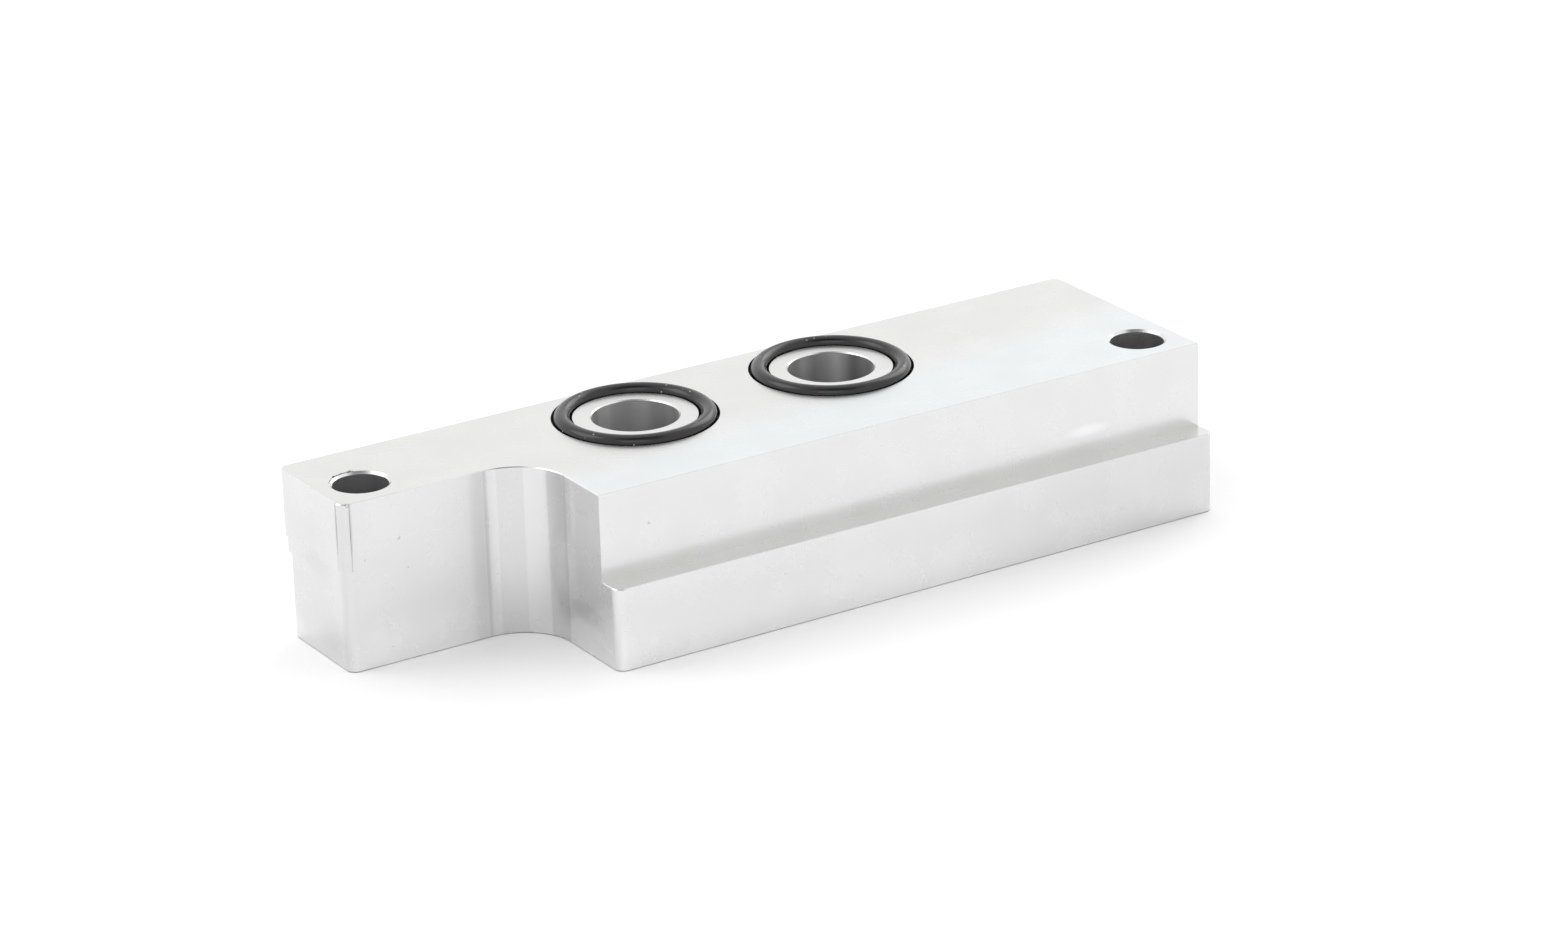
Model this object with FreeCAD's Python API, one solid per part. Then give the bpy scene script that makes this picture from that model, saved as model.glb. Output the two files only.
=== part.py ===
import FreeCAD
import Part
import os

# Ported adapter block, milled from aluminium plate, with two O-ring face seals on its top.
# Millimetres. +X runs along the block, from the bolting tab to the far end. +Y is the back, +Z is up.
# The origin is the middle of the bottom face's bounding rectangle.

# Block
block_length = 110.4
block_depth = 33.2
block_height = 20.9
corner_radius = 1.2
edge_break = 0.1

# The side walls are milled in two passes, one from each face, that meet on a witness line.
pass_height = 12.6
pass_step = 0.25

# Rebates: one along the front leaves a ledge, one along the back leaves an overhang.
ledge_depth = 3.3
ledge_height = 10.2
overhang_depth = 1.8
overhang_height = 10.6

# Notch that leaves the bolting tab
notch_length = 25.5
notch_depth = 17.9
notch_radius = 6.9

# Bolt holes, clearance for M6 screws
bolt_hole_diameter = 6.6
bolt_hole_chamfer = 0.3
tab_bolt_from_end = 5.5
tab_bolt_from_notch = 5.3
far_bolt_from_end = 5.2
far_bolt_from_front = 5.5

# Ports, each with a flat land inside its O-ring groove
port_diameter = 10.5
port_chamfer = 0.15
first_port_from_end = 42.2
port_pitch = 27.6
port_from_back = 10.3
land_diameter = 15.0
groove_depth = 1.15

# O-rings
ring_cord = 2.0
ring_inner_gap = 0.25
ring_outer_gap = 0.3

# Places worked out from the sizes above
x_left = -block_length / 2
x_right = block_length / 2
x_tab_end = x_left + pass_step
x_notch = x_left + notch_length
y_front = -block_depth / 2
y_back = block_depth / 2
y_notch = y_front + notch_depth
y_upper_front = y_front + ledge_depth
ring_mean_diameter = land_diameter + 2 * ring_inner_gap + ring_cord
groove_diameter = ring_mean_diameter + ring_cord + 2 * ring_outer_gap
groove_floor = block_height - groove_depth
port_places = [(x_left + first_port_from_end + index * port_pitch, y_back - port_from_back) for index in (0, 1)]
bolt_places = [
    (x_left + tab_bolt_from_end, y_notch + tab_bolt_from_notch),
    (x_right - far_bolt_from_end, y_upper_front + far_bolt_from_front),
]
# A cutter runs this far past the faces that it opens.
run_out = 1.0


def point(x, y, z=0.0):
    return FreeCAD.Vector(x, y, z)


def box_between(low, high):
    """A box from its lowest corner to its highest corner."""
    size = high - low
    return Part.makeBox(size.x, size.y, size.z, low)


def pass_outline(x_end):
    """One milling pass seen from above, round the notch, with its tab ending at x_end."""
    corners = [
        (x_end, y_notch, corner_radius),
        (x_notch, y_notch, notch_radius),
        (x_notch, y_front, corner_radius),
        (x_right, y_front, corner_radius),
        (x_right, y_back, corner_radius),
        (x_end, y_back, corner_radius),
    ]
    edges = []
    starts = []
    ends = []
    for index, (x, y, radius) in enumerate(corners):
        corner = point(x, y)
        before = point(*corners[index - 1][:2])
        after = point(*corners[(index + 1) % len(corners)][:2])
        towards_before = (before - corner).normalize()
        towards_after = (after - corner).normalize()
        start = corner + towards_before * radius
        end = corner + towards_after * radius
        centre = start + towards_after * radius
        middle = centre + (corner - centre).normalize() * radius
        edges.append(Part.Arc(start, middle, end).toShape())
        starts.append(start)
        ends.append(end)
    for index, end in enumerate(ends):
        edges.append(Part.makeLine(end, starts[(index + 1) % len(starts)]))
    return Part.Wire(Part.__sortEdges__(edges))


def pass_solid(x_end, low, high):
    """The stock that one milling pass leaves, between two heights."""
    profile = Part.Face(pass_outline(x_end))
    profile.translate(point(0, 0, low))
    return profile.extrude(point(0, 0, high - low))


def front_rebate():
    return box_between(
        point(x_left - run_out, y_front - run_out, ledge_height),
        point(x_right + run_out, y_upper_front, block_height + run_out),
    )


def back_rebate():
    return box_between(
        point(x_left - run_out, y_back - overhang_depth, -run_out),
        point(x_right + run_out, y_back + run_out, overhang_height),
    )


def outer_rim_edges(solid):
    """The edges to break: round the top face, round the bottom face and along the ledge's lip."""
    rim = []
    for edge in solid.Edges:
        box = edge.BoundBox
        level = box.ZLength < edge_break
        on_face = abs(box.ZMin) < edge_break or abs(box.ZMax - block_height) < edge_break
        on_lip = abs(box.ZMin - ledge_height) < edge_break and box.YMin < y_front + corner_radius
        on_lip = on_lip and box.YMax < y_upper_front - edge_break
        if level and (on_face or on_lip):
            rim.append(edge)
    return rim


def stepped_blank():
    """The block with its notch and both rebates, before any hole is made."""
    lower = pass_solid(x_tab_end, 0, pass_height)
    upper = pass_solid(x_left, pass_height, block_height)
    blank = lower.fuse(upper).cut(front_rebate()).cut(back_rebate()).removeSplitter()
    return blank.makeChamfer(edge_break, outer_rim_edges(blank))


def through_hole(place, diameter, chamfer):
    """A cutter for a hole through the whole height, with a chamfer at each mouth."""
    radius = diameter / 2
    bore = Part.makeCylinder(radius, block_height + 2 * run_out, point(*place, -run_out))
    mouth = radius + chamfer + run_out
    depth = chamfer + run_out
    top = Part.makeCone(radius, mouth, depth, point(*place, block_height - chamfer))
    bottom = Part.makeCone(mouth, radius, depth, point(*place, -run_out))
    return bore.fuse([top, bottom])


def ring_groove(place):
    """A cutter for one O-ring groove, which leaves the land standing in its middle."""
    height = groove_depth + run_out
    outer = Part.makeCylinder(groove_diameter / 2, height, point(*place, groove_floor))
    land = Part.makeCylinder(land_diameter / 2, height, point(*place, groove_floor))
    return outer.cut(land)


def adapter_block():
    block = stepped_blank()
    for place in bolt_places:
        block = block.cut(through_hole(place, bolt_hole_diameter, bolt_hole_chamfer))
    for place in port_places:
        block = block.cut(through_hole(place, port_diameter, port_chamfer))
        block = block.cut(ring_groove(place))
    return block


def o_ring(place):
    """A ring that lies on the floor of its groove and stands proud of the top face."""
    return Part.makeTorus(ring_mean_diameter / 2, ring_cord / 2, point(*place, groove_floor + ring_cord / 2))


def export(name, shape):
    shape.exportStep("parts/" + name + ".step")
    print(name, "valid", shape.isValid(), "solids", len(shape.Solids), "volume", round(shape.Volume, 2))


def main():
    os.makedirs("parts", exist_ok=True)
    export("adapter_block", adapter_block())
    for name, place in zip(("tab_side_o_ring", "far_side_o_ring"), port_places):
        export(name, o_ring(place))


if __name__ == "__main__":
    main()
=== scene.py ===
"""The looks of a ported adapter block: milled aluminium, two nitrile O-rings and a white studio."""

import math

import bmesh
import bpy
from mathutils import Matrix, Vector


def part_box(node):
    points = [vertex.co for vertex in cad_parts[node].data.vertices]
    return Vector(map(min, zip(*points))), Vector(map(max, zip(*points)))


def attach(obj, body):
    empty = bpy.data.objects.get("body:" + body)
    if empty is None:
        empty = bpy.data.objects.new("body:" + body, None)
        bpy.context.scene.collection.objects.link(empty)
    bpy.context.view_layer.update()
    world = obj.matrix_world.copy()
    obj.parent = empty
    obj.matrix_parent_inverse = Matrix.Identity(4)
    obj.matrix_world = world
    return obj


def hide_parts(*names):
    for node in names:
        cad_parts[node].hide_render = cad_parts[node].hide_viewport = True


bl_info = {
    "name": "Ported Adapter Block",
    "version": (1, 0, 0),
    "blender": (4, 5, 0),
    "location": "View3D > Sidebar > Adapter Block",
    "description": "Finishes a milled adapter block and its O-rings, and lights them in a white studio",
    "category": "Object",
}

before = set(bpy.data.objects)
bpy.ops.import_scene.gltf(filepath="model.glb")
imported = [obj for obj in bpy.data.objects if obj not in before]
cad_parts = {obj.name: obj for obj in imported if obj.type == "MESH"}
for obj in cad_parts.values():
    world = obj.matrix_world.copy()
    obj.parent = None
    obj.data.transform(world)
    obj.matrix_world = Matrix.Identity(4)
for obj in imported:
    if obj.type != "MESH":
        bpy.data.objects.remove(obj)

MM = 0.001
BLOCK = "adapter_block"
O_RINGS = ("tab_side_o_ring", "far_side_o_ring")
LOW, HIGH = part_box(BLOCK)

# Faces and curves of the block that the finish and the wear follow.
CORNER_RADIUS = 1.2 * MM
PASS_HEIGHT = 12.6 * MM
UPPER_FRONT = LOW.y + 3.3 * MM
TAB_FRONT = LOW.y + 17.9 * MM
NOTCH_WALL = LOW.x + 25.5 * MM
NOTCH_RADIUS = 6.9 * MM
NOTCH_CENTRE = (NOTCH_WALL - NOTCH_RADIUS, TAB_FRONT - NOTCH_RADIUS)
TAB_HOLE = (LOW.x + 5.5 * MM, TAB_FRONT + 5.3 * MM)
FAR_HOLE = (HIGH.x - 5.2 * MM, UPPER_FRONT + 5.5 * MM)
HOLE_RADIUS = 3.3 * MM
HOLE_MOUTH_RADIUS = 3.6 * MM
PORT_RADIUS = 5.25 * MM
PORTS = [tuple((low + high) / 2)[:2] for low, high in map(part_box, O_RINGS)]
GROOVE_RADII = (7.5 * MM, 10.05 * MM)

# A point this near a face counts as on it, because the round walls are made of flat facets.
SLACK = 0.05 * MM
NOTCH_SLACK = 0.06 * MM

# The heights between which the grooves are painted with shade, from just under their floors to just under
# the top.
GROOVE_HEIGHTS = (HIGH.z - 1.3 * MM, HIGH.z - 0.02 * MM)

# The holes' own finish starts this high, just below the broken edges of the ports' mouths.
MOUTH_HEIGHT = HIGH.z - 0.2 * MM

# How high the painted shadow along the line of contact with the floor reaches.
CONTACT_SHADOW_HEIGHT = 0.09 * MM

# Shares of the metal's brightness: what painted shade takes in the grooves and at the line of contact, and
# how far the painted reflection bands in the ports and the soft clouds change it either way.
PAINTED_SHADE_LOSS = 0.8
PORT_REFLECTION_CHANGE = 0.9
CLOUD_CHANGE = 0.06

# Changes to the metal's roughness: either way in the clouds, and added in the ports and the grooves. The
# screw holes get a share of what the ports get.
CLOUD_BLUR = 0.05
PORT_BLUR = 0.15
SCREW_HOLE_SHARE = 0.2
GROOVE_BLUR = 0.30

# The top is painted in two zones of reflection, the one along the front brighter and bluer. The border
# between them is soft, from the first of these places in Y to the second, and slants by this much in Y for
# each unit of X.
ZONE_BORDER = (1.5 * MM, -7.0 * MM)
ZONE_SLANT = 0.115
WALL_ZONE = 0.55
PAINTED_REFLECTION_TINTS = ((0.0, "#f6f6f5"), (WALL_ZONE, "#fafafa"), (1.0, "#fbfeff"))

# The painted reflection bands round the notch's corner, by their share of its quarter turn.
NOTCH_REFLECTION_BANDS = (
    (0.28, "#eeeeee"),
    (0.30, "#ffffff"),
    (0.55, "#fdfdfd"),
    (0.57, "#f4f4f4"),
    (0.84, "#f4f4f4"),
    (0.86, "#fdfdfd"),
    (0.95, "#fbfbfb"),
    (0.97, "#efefef"),
)

# The patterns in the metal: the radius of the face mill, the depth of its lines and the size of the clouds.
MILL_RADIUS = 31.5 * MM
LINE_DEPTH = 0.0015 * MM
CLOUD_SIZE = 7 * MM

# A face counts as flat, and not as a wall, when the upright part of its normal is above this.
FLAT_FROM = 0.9

# How strongly the finer detail of every noise pattern shows.
NOISE_DETAIL_SHARE = 0.55

# Wear takes next to nothing from the block, so at least this share of its volume is left.
WORN_SHARE = 0.999

# The two fine upright lines beside the tab's front corner.
WITNESS_LINE_WIDTH = 0.20 * MM

# The burr on the mouth of the tab's screw hole: the turn that it covers, its foot just below the top, how
# high it stands, how ragged it is and how thick.
BURR_TURN = (math.radians(75), math.radians(150))
BURR_FOOT = HIGH.z - 0.03 * MM
BURR_HEIGHT = 0.12 * MM
BURR_RAGGEDNESS = 0.22 * MM
BURR_THICKNESS = 0.05 * MM

# The block's faces in millimetres, in which the dents and patches are given.
END_X, NOTCH_X = LOW.x / MM, NOTCH_WALL / MM
LOWER_Y, UPPER_Y, TAB_Y = LOW.y / MM, UPPER_FRONT / MM, TAB_FRONT / MM

# Dents: the centre, which lies on a face, and the radius.
DENTS = (
    ((-47.9, TAB_Y, 15.3), 0.20),
    ((-52.4, TAB_Y, 13.6), 0.14),
    ((-46.9, TAB_Y, 11.4), 0.10),
    ((-54.3, TAB_Y, 20.7), 0.22),
    ((-23.2, UPPER_Y, 16.0), 0.17),
    ((-7.0, LOWER_Y, 6.8), 0.10),
)

# Darker and brighter places on the block, some of them painted shade and painted reflections as marked: the
# centre, how far each reaches and the share by which it changes the brightness.
MARKS_AND_PAINTED_LIGHT = (
    ((-37.4, TAB_Y, 10), (1.6, 0.5, 30), -0.10),  # band of painted shade beside the notch's corner
    ((NOTCH_X, -7.2, 17), (0.6, 0.9, 5), 0.10),  # bright streak high on the notch wall
    ((NOTCH_X, -10, 5), (0.6, 5, 1.8), -0.14),  # painted shade low on the notch wall
    ((END_X, 9, 11.5), (0.8, 5, 2), -0.05),  # dark place across the middle of the tab's end
    ((END_X, 14.5, 2), (0.8, 3, 2.5), 0.08),  # painted reflection at the back of the end's foot
    ((END_X, 5, 3), (0.8, 5, 4), -0.06),  # painted shade at the front of the end's foot
    ((END_X, TAB_Y + 1.2, 18), (0.3, 0.25, 6), -0.35),  # witness line on the end, with painted shade along it
    ((END_X + 1.2, TAB_Y, 18), (0.25, 0.3, 6), -0.20),  # witness line on the tab's front, with painted shade along it
    ((38.5, UPPER_Y, 13.3), (4, 0.6, 1.0), 0.12),  # bright place on the upper front
)

# Changes in the same form that stand for nothing on the block. They only even out the studio's light.
LIGHT_CORRECTIONS = (
    ((NOTCH_X, -5.5, 9), (1.2, 3, 6), 0.20),
    ((END_X, 8, 9), (0.8, 15, 18), -0.06),
    ((END_X + 0.4, TAB_Y + 0.4, 10), (1.6, 1.6, 30), -0.07),
    ((52, LOWER_Y, 5), (40, 0.6, 16), -0.09),
    ((0, LOWER_Y, 0), (90, 0.6, 8), 0.12),
    ((-46, TAB_Y, 0), (13, 0.6, 8), 0.16),
)

# Softboxes: the name, the setting that holds its power, and the place.
SOFTBOXES = (
    ("left softbox", "side_power", (-0.62, 0.45, 0.75)),
    ("right softbox", "side_power", (0.82, 0.36, 0.60)),
    ("front softbox", "front_power", (-0.42, -0.62, 0.78)),
)

# Where the white surround is dimmed: how many degrees from the middle the dimming begins and is full.
FRONT_DIMMING = (60, 20)
CEILING_DIMMING = (29, 10)
CEILING_GAP = Vector((-0.1, -0.3, 0.95)).normalized()

# The camera's sensor in millimetres, and how near and how far it sees in metres.
SENSOR_WIDTH = 36.0
NEAREST_SEEN = 0.01
FARTHEST_SEEN = 20.0


def linear(hex_colour):
    """An sRGB hex colour, such as "#ececea", as linear red, green, blue and an alpha of one."""
    channels = [int(hex_colour[i : i + 2], 16) / 255 for i in (1, 3, 5)]
    return (*[c / 12.92 if c <= 0.04045 else ((c + 0.055) / 1.055) ** 2.4 for c in channels], 1.0)


def add(tree, kind, *inputs, keyed=None, output=0, stops=(), **settings):
    """Adds a shader node and returns one of its outputs, or nothing when it has none.

    Inputs come in order, or keyed by name or number, and each is a socket to link or a plain value. Settings
    are the node's own properties. Stops are the (position, hex colour) pairs of a colour ramp.
    """
    node = tree.nodes.new("ShaderNode" + kind)
    for name, setting in settings.items():
        setattr(node, name, setting)
    for key, given in {**dict(enumerate(inputs)), **(keyed or {})}.items():
        if isinstance(given, bpy.types.NodeSocket):
            tree.links.new(given, node.inputs[key])
        else:
            node.inputs[key].default_value = given
    if stops:
        elements = node.color_ramp.elements
        while len(elements) < len(stops):
            elements.new(1.0)
        for element, (position, colour) in zip(elements, stops):
            element.position = position
            element.color = linear(colour)
    return node.outputs[output] if len(node.outputs) else None


def between(tree, value, low, high):
    """One where the value lies between two numbers, and zero elsewhere."""
    above = add(tree, "Math", value, low, operation="GREATER_THAN")
    below = add(tree, "Math", value, high, operation="LESS_THAN")
    return add(tree, "Math", above, below, operation="MULTIPLY")


def polar(tree, x, y, centre):
    """A point's distance from an upright axis, and its angle round it."""
    dx = add(tree, "Math", x, centre[0], operation="SUBTRACT")
    dy = add(tree, "Math", y, centre[1], operation="SUBTRACT")
    dy_squared = add(tree, "Math", dy, dy, operation="MULTIPLY")
    squares = add(tree, "Math", dx, dx, dy_squared, operation="MULTIPLY_ADD")
    distance = add(tree, "Math", squares, operation="SQRT")
    return distance, add(tree, "Math", dy, dx, operation="ARCTAN2")


def soft_patch(tree, place, centre, radii, change):
    """A change that fades from the centre of an ellipsoid to its surface, sizes in millimetres."""
    offset = add(tree, "VectorMath", place, Vector(centre) * MM, operation="SUBTRACT")
    share = add(tree, "VectorMath", offset, Vector(radii) * MM, operation="DIVIDE")
    reach = add(tree, "VectorMath", share, operation="LENGTH", output="Value")
    return add(tree, "MapRange", reach, 1.0, 0.25, 0.0, change, interpolation_type="SMOOTHSTEP")


def swing(tree, value, amount):
    """Turns noise round a half into a change of that amount either way."""
    centred = add(tree, "Math", value, 0.5, operation="SUBTRACT")
    return add(tree, "Math", centred, 2 * amount, operation="MULTIPLY")


def pattern(size, detail, **source):
    """What sets a noise pattern whose features are about one size across, in its source's unit."""
    return {**source, "Scale": 1 / size, "Detail": detail, "Roughness": NOISE_DETAIL_SHARE}


def empty_material(name):
    """A material with an empty node tree, and the tree."""
    material = bpy.data.materials.new(name)
    material.use_nodes = True
    material.node_tree.nodes.clear()
    return material, material.node_tree


def show_surface(tree, inputs):
    """Joins a Principled shader with these inputs to the material's output."""
    add(tree, "OutputMaterial", add(tree, "BsdfPrincipled", keyed=inputs))


class StudioSettings(bpy.types.PropertyGroup):
    """The camera, floor and lights."""

    lens: bpy.props.FloatProperty(
        name="Lens", description="Focal length on a 36 mm wide sensor, in millimetres", default=120.525
    )
    heading: bpy.props.FloatProperty(
        name="Heading",
        description="The camera's turn about Z",
        default=math.radians(-31.891),
        unit="ROTATION",
    )
    drop: bpy.props.FloatProperty(
        name="Drop",
        description="How far the camera looks down",
        default=math.radians(21.497),
        unit="ROTATION",
    )
    roll: bpy.props.FloatProperty(
        name="Roll",
        description="The camera's lean to one side",
        default=math.radians(-1.608),
        unit="ROTATION",
    )
    place: bpy.props.FloatVectorProperty(
        name="Place",
        description="Where the camera stands",
        default=(-303.378 * MM, -492.032 * MM, 239.842 * MM),
        subtype="TRANSLATION",
        unit="LENGTH",
    )
    floor_size: bpy.props.FloatProperty(
        name="Floor Size", description="Side of the white floor", default=6.0, unit="LENGTH"
    )
    surround: bpy.props.FloatProperty(
        name="Surround", description="Brightness of the white surround", default=1.10, min=0
    )
    front: bpy.props.FloatProperty(
        name="Front", description="Share of that brightness on the camera's side", default=0.90, min=0
    )
    ceiling: bpy.props.FloatProperty(
        name="Ceiling", description="Share of that brightness in the gap overhead", default=0.15, min=0
    )
    softbox_size: bpy.props.FloatProperty(
        name="Softbox Size", description="Side of each square softbox", default=0.6, unit="LENGTH"
    )
    side_power: bpy.props.FloatProperty(
        name="Side Power", description="Power of each side softbox", default=1.9, unit="POWER", min=0
    )
    front_power: bpy.props.FloatProperty(
        name="Front Power", description="Power of the softbox in front", default=0.95, unit="POWER", min=0
    )


class FinishSettings(bpy.types.PropertyGroup):
    """The finish of the block and the O-rings."""

    aluminium: bpy.props.FloatVectorProperty(
        name="Aluminium",
        description="Colour of the bare milled metal",
        default=linear("#e5e5e5")[:3],
        subtype="COLOR",
        size=3,
        min=0,
        max=1,
    )
    aluminium_roughness: bpy.props.FloatProperty(
        name="Aluminium Roughness",
        description="Blur of the metal's reflections",
        default=0.27,
        subtype="FACTOR",
        min=0,
        max=1,
    )
    feed: bpy.props.FloatProperty(
        name="Feed",
        description="Spacing of the cutter's marks",
        default=0.35 * MM,
        unit="LENGTH",
        precision=5,
    )
    rubber: bpy.props.FloatVectorProperty(
        name="Rubber",
        description="Colour of the nitrile rubber",
        default=linear("#0f1012")[:3],
        subtype="COLOR",
        size=3,
        min=0,
        max=1,
    )
    rubber_roughness: bpy.props.FloatProperty(
        name="Rubber Roughness",
        description="Blur of the rubber's shine",
        default=0.22,
        subtype="FACTOR",
        min=0,
        max=1,
    )


def painted_reflection_zones(tree, x, y, z, flat, wall):
    """Painted reflection in the metal's colour: the top's two zones, of which the one along the front is
    painted brighter, and the walls.
    """
    top = add(tree, "Math", z, HIGH.z - SLACK, operation="GREATER_THAN")
    top = add(tree, "Math", flat, top, operation="MULTIPLY")
    level = add(tree, "Math", x, -ZONE_SLANT, y, operation="MULTIPLY_ADD")
    front = add(tree, "MapRange", level, *ZONE_BORDER, 0.0, 1.0, interpolation_type="SMOOTHSTEP")
    front = add(tree, "Math", top, front, operation="MULTIPLY")
    zone = add(tree, "Math", wall, WALL_ZONE, front, operation="MULTIPLY_ADD")
    return add(tree, "ValToRGB", zone, stops=PAINTED_REFLECTION_TINTS)


def notch_painted_reflection(tree, x, y, wall):
    """White, apart from the upright bands of painted reflection round the notch's corner."""
    quarter = math.pi / 2
    distance, turn = polar(tree, x, y, NOTCH_CENTRE)
    corner = between(tree, distance, NOTCH_RADIUS - NOTCH_SLACK, NOTCH_RADIUS + NOTCH_SLACK)
    corner = add(tree, "Math", corner, wall, operation="MULTIPLY")
    corner = add(tree, "Math", corner, between(tree, turn, 0.0, quarter), operation="MULTIPLY")
    share_of_turn = add(tree, "Math", turn, quarter, operation="DIVIDE")
    bands = add(tree, "ValToRGB", share_of_turn, stops=NOTCH_REFLECTION_BANDS)
    white = linear("#ffffff")
    return add(tree, "Mix", keyed={0: corner, 6: white, 7: bands}, output=2, data_type="RGBA")


def holes_and_grooves(tree, x, y, z):
    """How far the holes are blurred, the change that their painted reflection bands make, and where the
    grooves are.
    """
    blurred = bands = grooves = 0.0
    for port in PORTS:
        distance, angle = polar(tree, x, y, port)
        in_port = add(tree, "Math", distance, PORT_RADIUS + SLACK, operation="LESS_THAN")
        blurred = add(tree, "Math", blurred, in_port, operation="MAXIMUM")
        # Painted reflection bands: the port's own place starts the pattern, so the bands lie differently in
        # each port.
        start = add(tree, "Math", angle, port[0] / MM, operation="ADD")
        reflection_streaks = add(tree, "TexNoise", keyed=pattern(0.9, 1.0, W=start), noise_dimensions="1D")
        reflection_streaks = add(tree, "Math", swing(tree, reflection_streaks, PORT_REFLECTION_CHANGE), in_port, operation="MULTIPLY")
        bands = add(tree, "Math", bands, reflection_streaks, operation="ADD")
        in_groove = between(tree, distance, GROOVE_RADII[0] - SLACK, GROOVE_RADII[1] + SLACK)
        grooves = add(tree, "Math", grooves, in_groove, operation="MAXIMUM")
    for hole in (TAB_HOLE, FAR_HOLE):
        distance = polar(tree, x, y, hole)[0]
        in_hole = add(tree, "Math", distance, HOLE_RADIUS + SLACK, operation="LESS_THAN")
        blurred = add(tree, "Math", in_hole, SCREW_HOLE_SHARE, blurred, operation="MULTIPLY_ADD")
    below_mouth = add(tree, "Math", z, MOUTH_HEIGHT, operation="LESS_THAN")
    blurred = add(tree, "Math", blurred, below_mouth, operation="MULTIPLY")
    bands = add(tree, "Math", bands, below_mouth, operation="MULTIPLY")
    grooves = add(tree, "Math", grooves, between(tree, z, *GROOVE_HEIGHTS), operation="MULTIPLY")
    return blurred, bands, grooves


def cutter_lines(tree, x, y, flat, wall, feed):
    """The relief of the cutter's lines: arcs on the flats and upright lines on the walls."""
    # The face mill is taken to be wider than the block, so that its arcs cross the whole of it.
    y_squared = add(tree, "Math", y, y, operation="MULTIPLY")
    reach_squared = add(tree, "Math", MILL_RADIUS**2, y_squared, operation="SUBTRACT")
    reach = add(tree, "Math", reach_squared, operation="SQRT")
    arc = add(tree, "Math", x, reach, operation="SUBTRACT")
    on_flat = add(tree, "Math", arc, flat, operation="MULTIPLY")
    along_wall = add(tree, "Math", x, y, operation="ADD")
    across = add(tree, "Math", along_wall, wall, on_flat, operation="MULTIPLY_ADD")
    lines = add(tree, "TexNoise", keyed=pattern(feed, 2.0, W=across), noise_dimensions="1D")
    return add(tree, "Bump", keyed={"Height": lines, "Strength": 0.5, "Distance": LINE_DEPTH})


# Aluminium, milled and left bare: a bright, slightly blurred mirror whose faint lines follow the cutter.
# Its colour also holds painted reflections and painted shade.
def milled_aluminium(finish):
    material, tree = empty_material("Aluminium milled bare")
    place = add(tree, "TexCoord", output="Object")
    x, y, z = add(tree, "SeparateXYZ", place).node.outputs
    normal = add(tree, "TexCoord", output="Normal")
    up = add(tree, "SeparateXYZ", normal, output="Z")
    upright = add(tree, "Math", up, operation="ABSOLUTE")
    flat = add(tree, "Math", upright, FLAT_FROM, operation="GREATER_THAN")
    wall = add(tree, "Math", 1.0, flat, operation="SUBTRACT")
    blurred, bands, grooves = holes_and_grooves(tree, x, y, z)

    # Little light leaves the gaps in the grooves and under the bottom edges, so both are darkened.
    contact_shadow = add(tree, "Math", z, CONTACT_SHADOW_HEIGHT, operation="LESS_THAN")
    painted_shade = add(tree, "Math", grooves, contact_shadow, operation="MAXIMUM")
    shade = add(tree, "Math", painted_shade, -PAINTED_SHADE_LOSS, 1.0, operation="MULTIPLY_ADD")
    shade = add(tree, "Math", shade, bands, operation="ADD")
    for centre, radii, change in MARKS_AND_PAINTED_LIGHT + LIGHT_CORRECTIONS:
        patch = soft_patch(tree, place, centre, radii, change)
        shade = add(tree, "Math", shade, patch, operation="ADD")
    clouds = add(tree, "TexNoise", keyed=pattern(CLOUD_SIZE, 3.0, Vector=place))
    cloudy = add(tree, "Math", 1.0, swing(tree, clouds, CLOUD_CHANGE), operation="ADD")
    shade = add(tree, "Math", shade, cloudy, operation="MULTIPLY")

    painted_reflection = painted_reflection_zones(tree, x, y, z, flat, wall)
    base = add(tree, "VectorMath", painted_reflection, notch_painted_reflection(tree, x, y, wall), operation="MULTIPLY")
    base = add(tree, "VectorMath", base, finish.aluminium, operation="MULTIPLY")
    base = add(tree, "VectorMath", base, keyed={"Scale": shade}, operation="SCALE")

    rough = add(tree, "Math", finish.aluminium_roughness, swing(tree, clouds, CLOUD_BLUR), operation="ADD")
    rough = add(tree, "Math", blurred, PORT_BLUR, rough, operation="MULTIPLY_ADD")
    rough = add(tree, "Math", grooves, GROOVE_BLUR, rough, operation="MULTIPLY_ADD")
    lines = cutter_lines(tree, x, y, flat, wall, finish.feed)
    show_surface(tree, {"Base Color": base, "Roughness": rough, "Normal": lines, "Metallic": 1.0})
    return material


# Aluminium torn up into a burr at a hole's mouth: much rougher than the milled faces, and painted darker
# with the shade among its ragged flakes.
def torn_aluminium():
    material, tree = empty_material("Aluminium torn burr")
    place = add(tree, "TexCoord", output="Object")
    speckle = add(tree, "TexNoise", keyed=pattern(0.2 * MM, 2.0, Vector=place))
    rough = add(tree, "Math", 0.6, swing(tree, speckle, 0.2), operation="ADD")
    show_surface(tree, {"Base Color": linear("#8f8f8d"), "Roughness": rough, "Metallic": 1.0})
    return material


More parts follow.
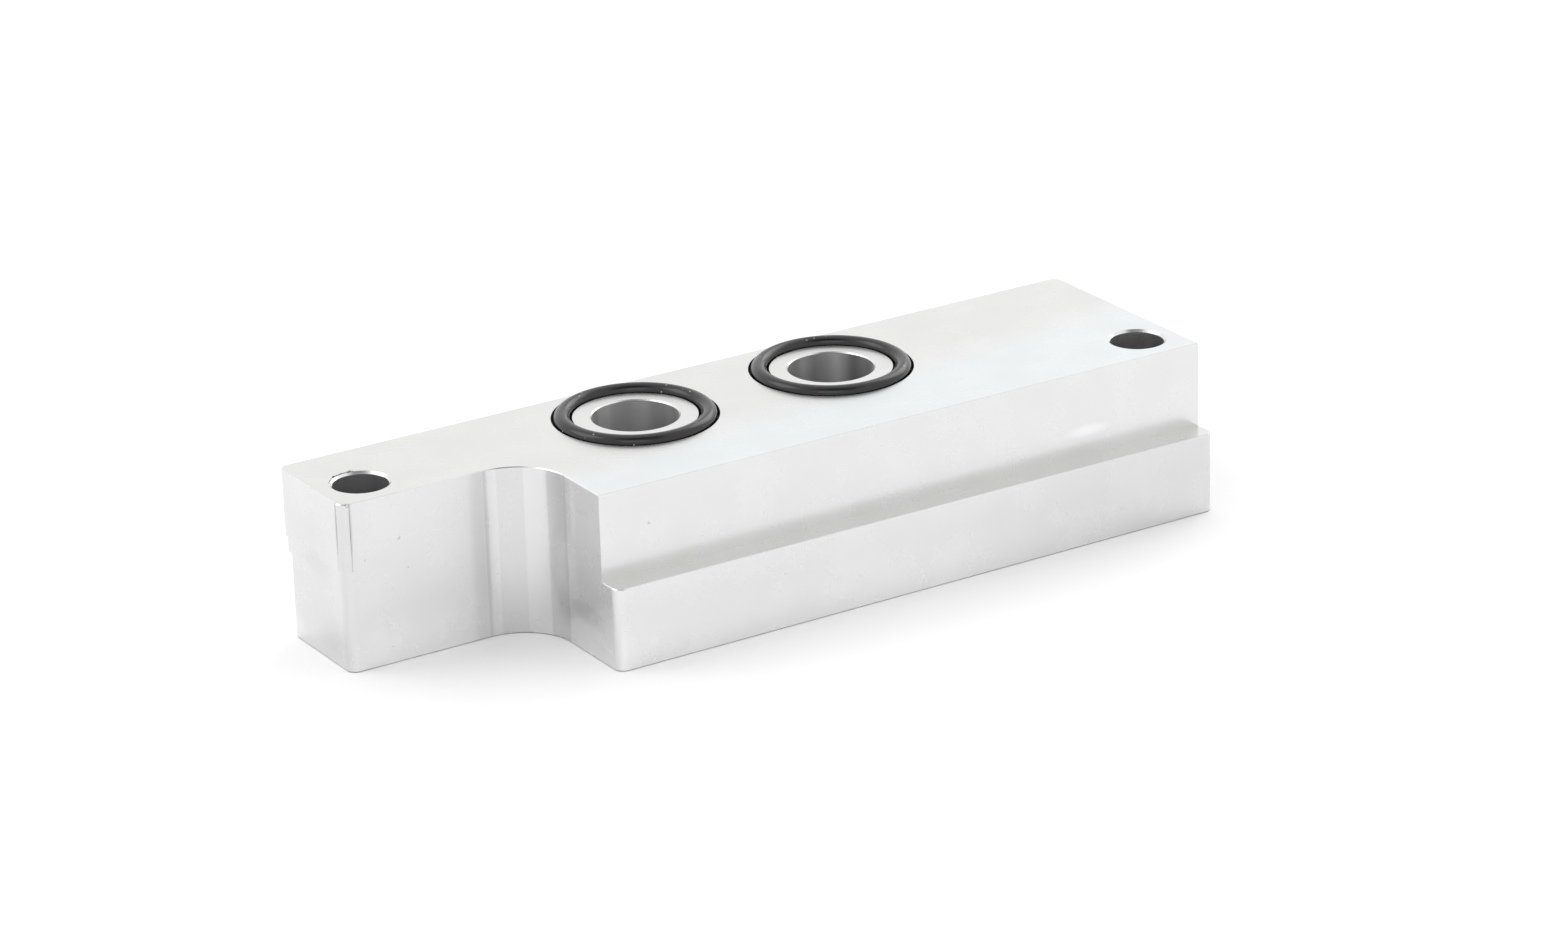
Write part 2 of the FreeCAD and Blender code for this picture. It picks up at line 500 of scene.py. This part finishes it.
# Nitrile rubber, compression moulded: black with a soft shine, a fine grain and specks of dust.
def moulded_nitrile(finish):
    material, tree = empty_material("Nitrile rubber moulded")
    place = add(tree, "TexCoord", output="Object")
    grain = add(tree, "TexNoise", keyed=pattern(0.35 * MM, 3.0, Vector=place))
    rough = add(tree, "Math", finish.rubber_roughness, swing(tree, grain, 0.12), operation="ADD")
    relief = add(tree, "Bump", keyed={"Height": grain, "Strength": 0.4, "Distance": 0.008 * MM})
    # The specks of dust lie about 1.3 mm apart.
    specks = add(tree, "TexVoronoi", keyed={"Vector": place, "Scale": 1 / (1.3 * MM)}, feature="F1")
    dust = add(tree, "Math", specks, 0.09, operation="LESS_THAN")
    black, grey = (*finish.rubber, 1.0), linear("#8d8d8a")
    base = add(tree, "Mix", keyed={0: dust, 6: black, 7: grey}, output=2, data_type="RGBA")
    show_surface(tree, {"Base Color": base, "Roughness": rough, "Normal": relief, "IOR": 1.52})
    return material


# White painted board: matt, and bright enough to fade into the surround.
def white_board():
    material, tree = empty_material("Board painted white")
    show_surface(tree, {"Base Color": linear("#fbfbfb"), "Roughness": 0.9, "Specular IOR Level": 0.1})
    return material


def camera_turn(studio):
    """The camera's rotation: heading, then drop, then roll."""
    turn = Matrix.Rotation(studio.heading, 4, "Z")
    turn @= Matrix.Rotation(math.radians(90) - studio.drop, 4, "X")
    turn @= Matrix.Rotation(studio.roll, 4, "Z")
    return turn


def white_surround(studio):
    """A white tent that is dimmer on the camera's side and has a gap overhead."""
    world = bpy.data.worlds.new("White surround")
    world.use_nodes = True
    tree = world.node_tree
    tree.nodes.clear()
    direction = add(tree, "TexCoord", output="Generated")
    camera_side = (camera_turn(studio) @ Vector((0, 0, 1, 0))).to_3d()
    brightness = studio.surround
    for middle, left, limits in (
        (camera_side, studio.front, FRONT_DIMMING),
        (CEILING_GAP, studio.ceiling, CEILING_DIMMING),
    ):
        towards = add(tree, "VectorMath", direction, middle, operation="DOT_PRODUCT", output="Value")
        edges = [math.cos(math.radians(angle)) for angle in limits]
        dimmed = add(tree, "MapRange", towards, *edges, 1.0, left, interpolation_type="SMOOTHSTEP")
        brightness = add(tree, "Math", brightness, dimmed, operation="MULTIPLY")
    add(tree, "OutputWorld", add(tree, "Background", linear("#ffffff"), brightness))
    return world


def add_softbox(studio, name, power, place):
    """A square softbox that faces the block."""
    data = bpy.data.lights.new(name, "AREA")
    data.energy = power
    data.shape = "SQUARE"
    data.size = studio.softbox_size
    light = bpy.data.objects.new(name, data)
    light.location = place
    light.rotation_euler = (-Vector(place)).to_track_quat("-Z", "Y").to_euler()
    bpy.context.scene.collection.objects.link(light)


def start_edit(piece):
    """Leaves only this piece selected, in edit mode with all of its mesh selected."""
    bpy.ops.object.select_all(action="DESELECT")
    piece.select_set(True)
    bpy.context.view_layer.objects.active = piece
    bpy.ops.object.mode_set(mode="EDIT")
    bpy.ops.mesh.select_all(action="SELECT")


def merged_copy(node, name):
    """A CAD node's mesh as a new piece, with its loose triangles joined."""
    piece = bpy.data.objects.new(name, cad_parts[node].data.copy())
    bpy.context.scene.collection.objects.link(piece)
    start_edit(piece)
    bpy.ops.mesh.customdata_custom_splitnormals_clear()
    bpy.ops.mesh.remove_doubles(threshold=0.001 * MM)
    bpy.ops.object.mode_set(mode="OBJECT")
    return piece


def closed_volume(piece):
    """A piece's volume. Raises an error when the piece is empty or open, as a failed cut leaves it."""
    mesh = bmesh.new()
    mesh.from_mesh(piece.data)
    open_edges = sum(not edge.is_manifold for edge in mesh.edges)
    volume = mesh.calc_volume()
    mesh.free()
    if open_edges or volume <= 0:
        size = f"{volume / MM**3:.3f} mm3"
        raise RuntimeError(f"{piece.name} has {open_edges} open edges and a volume of {size}")
    return volume


def wear_cutters():
    """One mesh of every dent and of the two witness lines, which end where the upper pass does."""
    bpy.ops.object.select_all(action="DESELECT")
    cutters = []
    for centre, radius in DENTS:
        bpy.ops.mesh.primitive_ico_sphere_add(
            subdivisions=2, radius=radius * MM, location=[part * MM for part in centre]
        )
        cutters.append(bpy.context.object)
    height = HIGH.z - PASS_HEIGHT
    for x, y in ((LOW.x + CORNER_RADIUS, TAB_FRONT), (LOW.x, TAB_FRONT + CORNER_RADIUS)):
        bpy.ops.mesh.primitive_cylinder_add(
            vertices=4,
            radius=WITNESS_LINE_WIDTH / 2,
            depth=height,
            location=(x, y, PASS_HEIGHT + height / 2),
        )
        cutters.append(bpy.context.object)
    bpy.ops.object.select_all(action="DESELECT")
    for cutter in cutters:
        cutter.select_set(True)
    bpy.context.view_layer.objects.active = cutters[0]
    bpy.ops.object.join()
    bpy.ops.object.transform_apply(location=True, rotation=True, scale=True)
    return cutters[0]


class ADAPTER_OT_block(bpy.types.Operator):
    """Make the milled block with its dents and witness lines, in bare aluminium"""

    bl_idname = "adapter.block"
    bl_label = "Milled Block"

    def execute(self, context):
        block = merged_copy(BLOCK, "milled_block")
        block.data.materials.clear()
        block.data.materials.append(milled_aluminium(context.scene.adapter_finish))
        whole = closed_volume(block)
        cutters = wear_cutters()
        bpy.ops.object.select_all(action="DESELECT")
        block.select_set(True)
        context.view_layer.objects.active = block
        cut = block.modifiers.new("wear", "BOOLEAN")
        cut.operation = "DIFFERENCE"
        # The exact solver has to be told that some of the cutters overlap.
        cut.solver = "EXACT"
        cut.use_self = True
        cut.object = cutters
        bpy.ops.object.modifier_apply(modifier=cut.name)
        bpy.data.objects.remove(cutters)
        if closed_volume(block) < WORN_SHARE * whole:
            raise RuntimeError("the wear has cut away more than dents and fine lines")
        bpy.ops.object.shade_smooth_by_angle(angle=math.radians(30))
        weighted = block.modifiers.new("flat faces", "WEIGHTED_NORMAL")
        weighted.keep_sharp = True
        bpy.ops.object.modifier_apply(modifier=weighted.name)
        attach(block, "root")
        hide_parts(BLOCK)
        return {"FINISHED"}


class ADAPTER_OT_burr(bpy.types.Operator):
    """Raise the ragged burr on the mouth of the tab's screw hole"""

    bl_idname = "adapter.burr"
    bl_label = "Screw Hole Burr"

    def execute(self, context):
        bpy.ops.object.select_all(action="DESELECT")
        bpy.ops.mesh.primitive_circle_add(
            vertices=120, radius=HOLE_MOUTH_RADIUS, location=(*TAB_HOLE, BURR_FOOT)
        )
        burr = context.object
        burr.name = "screw_hole_burr"
        bpy.ops.object.transform_apply(location=True, rotation=True, scale=True)
        # Nothing is left selected first, because edges that stay selected would be deleted too.
        start_edit(burr)
        bpy.ops.mesh.select_all(action="DESELECT")
        bpy.ops.object.mode_set(mode="OBJECT")
        for vertex in burr.data.vertices:
            angle = math.atan2(vertex.co.y - TAB_HOLE[1], vertex.co.x - TAB_HOLE[0]) % (2 * math.pi)
            vertex.select = not BURR_TURN[0] < angle < BURR_TURN[1]
        bpy.ops.object.mode_set(mode="EDIT")
        bpy.ops.mesh.delete(type="VERT")
        bpy.ops.mesh.select_all(action="SELECT")
        bpy.ops.mesh.extrude_edges_move(TRANSFORM_OT_translate={"value": (0, 0, BURR_HEIGHT)})
        bpy.ops.transform.vertex_random(offset=BURR_RAGGEDNESS, uniform=0.0, normal=0.0, seed=4)
        bpy.ops.object.mode_set(mode="OBJECT")
        thicken = burr.modifiers.new("thickness", "SOLIDIFY")
        thicken.thickness = BURR_THICKNESS
        thicken.offset = 0.0
        bpy.ops.object.modifier_apply(modifier=thicken.name)
        closed_volume(burr)
        burr.data.materials.append(torn_aluminium())
        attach(burr, "root")
        return {"FINISHED"}


class ADAPTER_OT_o_rings(bpy.types.Operator):
    """Give the two O-rings their moulded rubber finish"""

    bl_idname = "adapter.o_rings"
    bl_label = "O-Rings"

    def execute(self, context):
        rubber = moulded_nitrile(context.scene.adapter_finish)
        for name in O_RINGS:
            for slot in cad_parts[name].material_slots:
                slot.material = rubber
        return {"FINISHED"}


class ADAPTER_OT_stage(bpy.types.Operator):
    """Set up the white floor, the surround, the softboxes and the camera"""

    bl_idname = "adapter.stage"
    bl_label = "Stage"

    def execute(self, context):
        studio = context.scene.adapter_studio
        bpy.ops.object.select_all(action="DESELECT")
        bpy.ops.mesh.primitive_plane_add(size=studio.floor_size, location=(0, 0, 0))
        floor = context.object
        floor.name = "floor"
        floor.data.materials.append(white_board())
        context.scene.world = white_surround(studio)
        for name, power, place in SOFTBOXES:
            add_softbox(studio, name, getattr(studio, power), place)

        camera_data = bpy.data.cameras.new("camera")
        camera_data.lens = studio.lens
        camera_data.sensor_width = SENSOR_WIDTH
        camera_data.sensor_fit = "HORIZONTAL"
        camera_data.clip_start = NEAREST_SEEN
        camera_data.clip_end = FARTHEST_SEEN
        camera = bpy.data.objects.new("camera", camera_data)
        context.scene.collection.objects.link(camera)
        camera.matrix_world = Matrix.Translation(studio.place) @ camera_turn(studio)
        context.scene.camera = camera
        context.scene.view_settings.view_transform = "Standard"
        return {"FINISHED"}


class ADAPTER_PT_panel(bpy.types.Panel):
    """Lists the block's pieces and their settings"""

    bl_idname = "ADAPTER_PT_panel"
    bl_label = "Adapter Block"
    bl_space_type = "VIEW_3D"
    bl_region_type = "UI"
    bl_category = "Adapter Block"

    def draw(self, context):
        layout = self.layout
        for operator in OPERATORS:
            layout.operator(operator.bl_idname)
        for group in (context.scene.adapter_finish, context.scene.adapter_studio):
            box = layout.box()
            for name in group.__annotations__:
                box.prop(group, name)


OPERATORS = (ADAPTER_OT_block, ADAPTER_OT_burr, ADAPTER_OT_o_rings, ADAPTER_OT_stage)
CLASSES = (StudioSettings, FinishSettings, *OPERATORS, ADAPTER_PT_panel)


def register():
    for cls in CLASSES:
        bpy.utils.register_class(cls)
    bpy.types.Scene.adapter_studio = bpy.props.PointerProperty(type=StudioSettings)
    bpy.types.Scene.adapter_finish = bpy.props.PointerProperty(type=FinishSettings)


def unregister():
    del bpy.types.Scene.adapter_finish
    del bpy.types.Scene.adapter_studio
    for cls in reversed(CLASSES):
        bpy.utils.unregister_class(cls)


def main():
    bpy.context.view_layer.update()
    register()
    bpy.ops.adapter.block()
    bpy.ops.adapter.burr()
    bpy.ops.adapter.o_rings()
    bpy.ops.adapter.stage()


if __name__ == "__main__":
    main()
